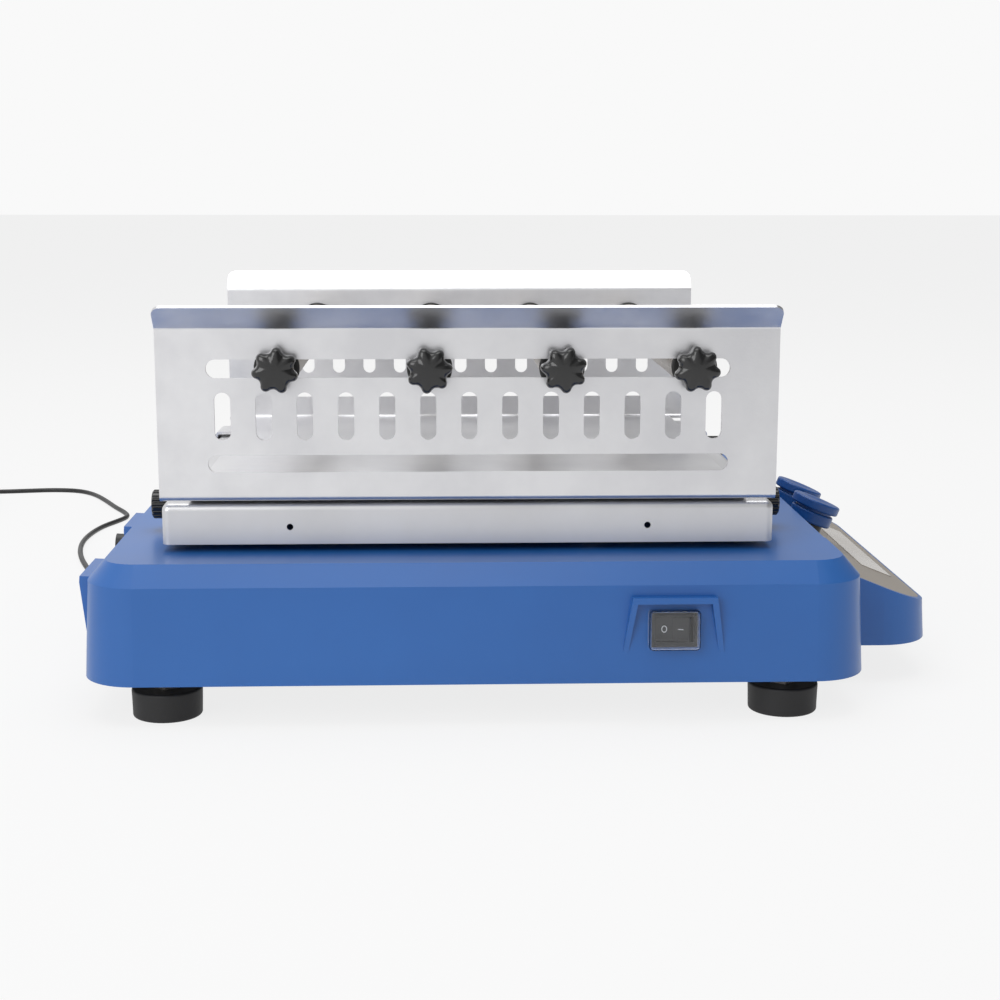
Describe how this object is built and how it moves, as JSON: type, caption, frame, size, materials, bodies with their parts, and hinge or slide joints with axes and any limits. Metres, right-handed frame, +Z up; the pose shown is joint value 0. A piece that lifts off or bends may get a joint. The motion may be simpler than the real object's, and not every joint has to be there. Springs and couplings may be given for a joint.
{
  "type": "orbital platform shaker",
  "caption": "Bench orbital shaker with a sloping control panel, two knobs and a slotted steel tray whose padded cross bars clamp flasks and bottles.",
  "frame": {"origin": "on the bench, under the middle of the machine's own box, its lead left out", "axes": "+X to the machine's right seen from the front, +Y to the rear where the sockets are, +Z up"},
  "size_m": [0.6416, 0.6671, 0.1963],
  "materials": {
    "casing_blue": "satin, moulded and painted",
    "plate_grey": "satin",
    "steel": "brushed",
    "zinc": "plated",
    "foot_rubber": "matt",
    "panel_grey": "fine matt film",
    "window_dark": "gloss",
    "board_green": "solder mask",
    "seal_black": "matt",
    "knob_blue": "satin",
    "switch_black": "satin",
    "cover_clear": "soft clear",
    "socket_black": "matt",
    "shell_metal": "tin plate",
    "cast_metal": "as cast",
    "belt_black": "matt",
    "stage_paint": "satin",
    "mat_black": "ribbed",
    "tray_steel": "brushed",
    "bar_grey": "matt sleeve",
    "ring_black": "matt",
    "star_black": "satin",
    "lead_black": "satin",
    "unit_black": "satin"
  },
  "bodies": {
    "base": {"casing": "casing_blue", "base_plate": "plate_grey", "base_screws": "zinc", "feet": "foot_rubber", "foot_hardware": "zinc", "panel_sheet": "panel_grey", "display_window": "window_dark", "panel_board": "board_green", "knob_encoders": "steel", "knob_seals": "seal_black", "switch_frame": "switch_black", "switch_cover": "cover_clear", "power_socket": "socket_black", "data_socket": "shell_metal", "main_board": "board_green", "drive_motor": "steel", "drive_belt": "belt_black", "main_hub": "cast_metal", "drive_bearings": "steel", "idler_hubs": "cast_metal", "power_lead": "lead_black", "lead_coil": "lead_black", "lead_plug": "unit_black", "power_unit": "unit_black"},
    "crank": {"crank_shaft": "steel", "drive_pulley": "cast_metal", "counterweight": "steel"},
    "motor_shaft": {"motor_pulley": "steel"},
    "platform": {"platform": "stage_paint", "platform_carrier": "cast_metal", "pin_bearings": "steel", "platform_screws": "zinc", "platform_mat": "mat_black", "clamping_tray": "tray_steel"},
    "speed_knob": {"speed_knob": "knob_blue"},
    "timer_knob": {"timer_knob": "knob_blue"},
    "rocker": {"switch_rocker": "switch_black"},
    "idler_1": {"idler_crank_1": "steel"},
    "idler_2": {"idler_crank_2": "steel"},
    "idler_3": {"idler_crank_3": "steel"},
    "thumb_rear_left": {"thumbscrew_rear_left": "star_black"},
    "thumb_rear_right": {"thumbscrew_rear_right": "star_black"},
    "thumb_front_left": {"thumbscrew_front_left": "star_black"},
    "thumb_front_right": {"thumbscrew_front_right": "star_black"},
    "bar_1": {"bar_1": "bar_grey", "bar_rings_1": "ring_black"},
    "star_1_left": {"star_knob_1_left": "star_black"},
    "star_1_right": {"star_knob_1_right": "star_black"},
    "bar_2": {"bar_2": "bar_grey", "bar_rings_2": "ring_black"},
    "star_2_left": {"star_knob_2_left": "star_black"},
    "star_2_right": {"star_knob_2_right": "star_black"},
    "bar_3": {"bar_3": "bar_grey", "bar_rings_3": "ring_black"},
    "star_3_left": {"star_knob_3_left": "star_black"},
    "star_3_right": {"star_knob_3_right": "star_black"},
    "bar_4": {"bar_4": "bar_grey", "bar_rings_4": "ring_black"},
    "star_4_left": {"star_knob_4_left": "star_black"},
    "star_4_right": {"star_knob_4_right": "star_black"}
  },
  "joints": [
    {"name": "crank_spin", "type": "hinge", "parent": "base", "child": "crank", "pos_m": [0.00131, 0.02103, 0.05], "axis": [0, 0, 1], "continuous": true},
    {"name": "platform_turn", "type": "hinge", "parent": "crank", "child": "platform", "pos_m": [0.00131, 0.02603, 0.088], "axis": [0, 0, 1], "continuous": true},
    {"name": "motor_spin", "type": "hinge", "parent": "base", "child": "motor_shaft", "pos_m": [-0.08069, 0.08903, 0.06], "axis": [0, 0, 1], "continuous": true},
    {"name": "speed_turn", "type": "hinge", "parent": "base", "child": "speed_knob", "pos_m": [-0.02244, -0.16827, 0.06979], "axis": [0, -0.3746, 0.9272], "continuous": true},
    {"name": "timer_turn", "type": "hinge", "parent": "base", "child": "timer_knob", "pos_m": [0.02506, -0.16827, 0.06979], "axis": [0, -0.3746, 0.9272], "continuous": true},
    {"name": "rocker_tilt", "type": "hinge", "parent": "base", "child": "rocker", "pos_m": [-0.17733, -0.06987, 0.04539], "axis": [0.0523, 0, 0.9986], "range_deg": [0, 20]},
    {"name": "idler_1_spin", "type": "hinge", "parent": "base", "child": "idler_1", "pos_m": [0.00131, 0.13903, 0.05], "axis": [0, 0, 1], "continuous": true},
    {"name": "idler_2_spin", "type": "hinge", "parent": "base", "child": "idler_2", "pos_m": [-0.10088, -0.03797, 0.05], "axis": [0, 0, 1], "continuous": true},
    {"name": "idler_3_spin", "type": "hinge", "parent": "base", "child": "idler_3", "pos_m": [0.1035, -0.03797, 0.05], "axis": [0, 0, 1], "continuous": true},
    {"name": "thumb_rear_left_turn", "type": "hinge", "parent": "platform", "child": "thumb_rear_left", "pos_m": [-0.08969, 0.18103, 0.09], "axis": [0, 1, 0], "range_deg": [0, 720]},
    {"name": "thumb_rear_right_turn", "type": "hinge", "parent": "platform", "child": "thumb_rear_right", "pos_m": [0.09231, 0.18103, 0.09], "axis": [0, 1, 0], "range_deg": [0, 720]},
    {"name": "thumb_front_left_turn", "type": "hinge", "parent": "platform", "child": "thumb_front_left", "pos_m": [-0.08969, -0.12897, 0.09], "axis": [0, -1, 0], "range_deg": [0, 720]},
    {"name": "thumb_front_right_turn", "type": "hinge", "parent": "platform", "child": "thumb_front_right", "pos_m": [0.09231, -0.12897, 0.09], "axis": [0, -1, 0], "range_deg": [0, 720]},
    {"name": "bar_1_slide", "type": "slide", "parent": "platform", "child": "bar_1", "axis": [0, 1, 0], "range_m": [-0.0249, 0.0297]},
    {"name": "star_1_left_turn", "type": "hinge", "parent": "bar_1", "child": "star_1_left", "pos_m": [-0.15369, 0.11783, 0.1657], "axis": [-1, 0, 0], "range_deg": [0, 720]},
    {"name": "star_1_right_turn", "type": "hinge", "parent": "bar_1", "child": "star_1_right", "pos_m": [0.15631, 0.11783, 0.1657], "axis": [1, 0, 0], "range_deg": [0, 720]},
    {"name": "bar_2_slide", "type": "slide", "parent": "platform", "child": "bar_2", "axis": [0, 1, 0], "range_m": [-0.0201, 0.0249]},
    {"name": "star_2_left_turn", "type": "hinge", "parent": "bar_2", "child": "star_2_left", "pos_m": [-0.15369, 0.04493, 0.1657], "axis": [-1, 0, 0], "range_deg": [0, 720]},
    {"name": "star_2_right_turn", "type": "hinge", "parent": "bar_2", "child": "star_2_right", "pos_m": [0.15631, 0.04493, 0.1657], "axis": [1, 0, 0], "range_deg": [0, 720]},
    {"name": "bar_3_slide", "type": "slide", "parent": "platform", "child": "bar_3", "axis": [0, 1, 0], "range_m": [-0.0203, 0.0201]},
    {"name": "star_3_left_turn", "type": "hinge", "parent": "bar_3", "child": "star_3_left", "pos_m": [-0.15369, -0.01857, 0.1657], "axis": [-1, 0, 0], "range_deg": [0, 720]},
    {"name": "star_3_right_turn", "type": "hinge", "parent": "bar_3", "child": "star_3_right", "pos_m": [0.15631, -0.01857, 0.1657], "axis": [1, 0, 0], "range_deg": [0, 720]},
    {"name": "bar_4_slide", "type": "slide", "parent": "platform", "child": "bar_4", "axis": [0, 1, 0], "range_m": [-0.0131, 0.0203]},
    {"name": "star_4_left_turn", "type": "hinge", "parent": "bar_4", "child": "star_4_left", "pos_m": [-0.15369, -0.08237, 0.1657], "axis": [-1, 0, 0], "range_deg": [0, 720]},
    {"name": "star_4_right_turn", "type": "hinge", "parent": "bar_4", "child": "star_4_right", "pos_m": [0.15631, -0.08237, 0.1657], "axis": [1, 0, 0], "range_deg": [0, 720]}
  ],
  "couplings": [
    {"joint": "platform_turn", "follows": "crank_spin", "ratio": -1},
    {"joint": "motor_spin", "follows": "crank_spin", "ratio": 3.7372},
    {"joint": "idler_1_spin", "follows": "crank_spin", "ratio": 1},
    {"joint": "idler_2_spin", "follows": "crank_spin", "ratio": 1},
    {"joint": "idler_3_spin", "follows": "crank_spin", "ratio": 1}
  ]
}
